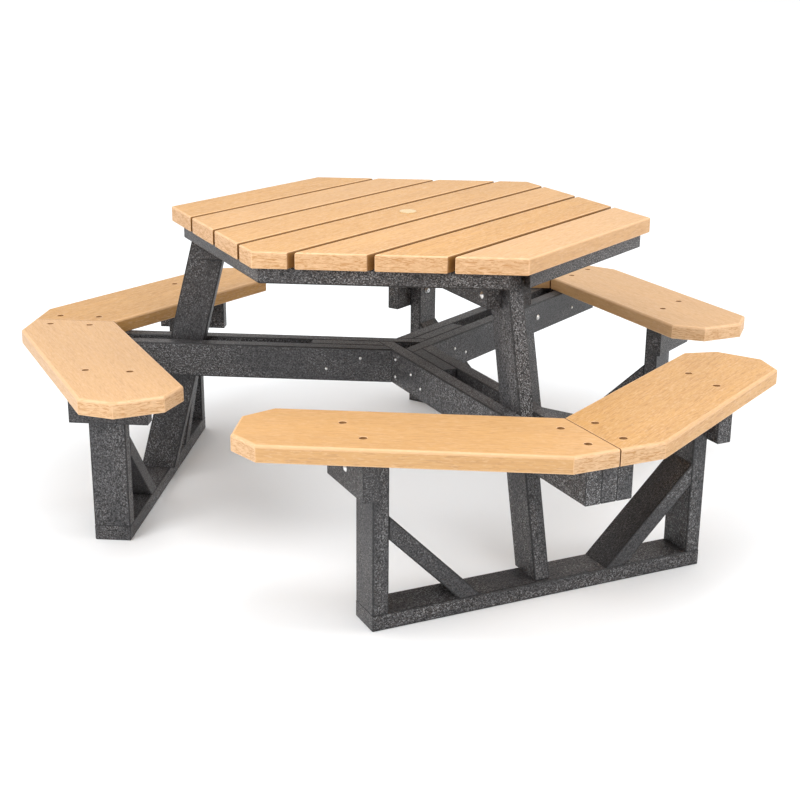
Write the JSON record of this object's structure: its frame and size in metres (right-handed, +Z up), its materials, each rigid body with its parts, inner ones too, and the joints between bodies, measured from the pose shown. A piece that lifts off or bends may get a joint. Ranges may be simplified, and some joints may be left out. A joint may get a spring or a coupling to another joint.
{
  "type": "picnic table",
  "caption": "Hexagonal plank picnic table on a radial frame of arms and leaning legs, with V-shaped benches around it and a plugged umbrella hole in the middle.",
  "frame": {"origin": "on the ground, at the middle of the whole footprint; the hub axis stands at x = -0.0418 m, because three benches aren't balanced about it", "axes": "+Z up; +X along the planks of the top, out over the middle of bench 1; benches 2 and 3 follow at 120 and 240 degrees about the hub"},
  "size_m": [1.8964, 1.824, 0.753],
  "materials": {
    "tan_board": "matte, brushed grain in cedar tan",
    "frame_board": "matte charcoal with fine pale speckle",
    "stainless": "satin stainless",
    "plug": "smooth off-white"
  },
  "bodies": {
    "frame": {"top_plank_1": "tan_board", "top_plank_2": "tan_board", "top_plank_3": "tan_board", "top_plank_4": "tan_board", "top_plank_5": "tan_board", "top_plank_6": "tan_board", "top_plank_7": "tan_board", "top_cleat_1": "frame_board", "top_cleat_2": "frame_board", "top_cleat_3": "frame_board", "top_cleat_4": "frame_board", "top_cleat_5": "frame_board", "top_cleat_6": "frame_board", "bearers_1": "frame_board", "bearers_2": "frame_board", "bearers_3": "frame_board", "arm_long_1": "frame_board", "arm_long_2": "frame_board", "arm_long_3": "frame_board", "arm_short_1": "frame_board", "arm_short_2": "frame_board", "arm_short_3": "frame_board", "arm_spacers_1": "frame_board", "arm_spacers_2": "frame_board", "arm_spacers_3": "frame_board", "leg_1": "frame_board", "leg_2": "frame_board", "leg_3": "frame_board", "sill_1": "frame_board", "sill_2": "frame_board", "sill_3": "frame_board", "braces_1": "frame_board", "braces_2": "frame_board", "braces_3": "frame_board", "post_1_right": "frame_board", "post_1_left": "frame_board", "post_2_right": "frame_board", "post_2_left": "frame_board", "post_3_right": "frame_board", "post_3_left": "frame_board", "bracket_1_right": "frame_board", "bracket_1_left": "frame_board", "bracket_2_right": "frame_board", "bracket_2_left": "frame_board", "bracket_3_right": "frame_board", "bracket_3_left": "frame_board", "seat_1_right": "tan_board", "seat_1_left": "tan_board", "seat_2_right": "tan_board", "seat_2_left": "tan_board", "seat_3_right": "tan_board", "seat_3_left": "tan_board", "seat_screws": "stainless", "bracket_bolts": "stainless", "arm_screws": "stainless", "leg_bolts": "stainless", "hub_lags": "stainless", "top_screws": "stainless", "sill_screws": "stainless"},
    "plug": {"umbrella_plug": "plug"}
  },
  "joints": [
    {"name": "plug_lift", "type": "slide", "parent": "frame", "child": "plug", "axis": [0, 0, 1], "range_m": [0, 0.08]}
  ]
}
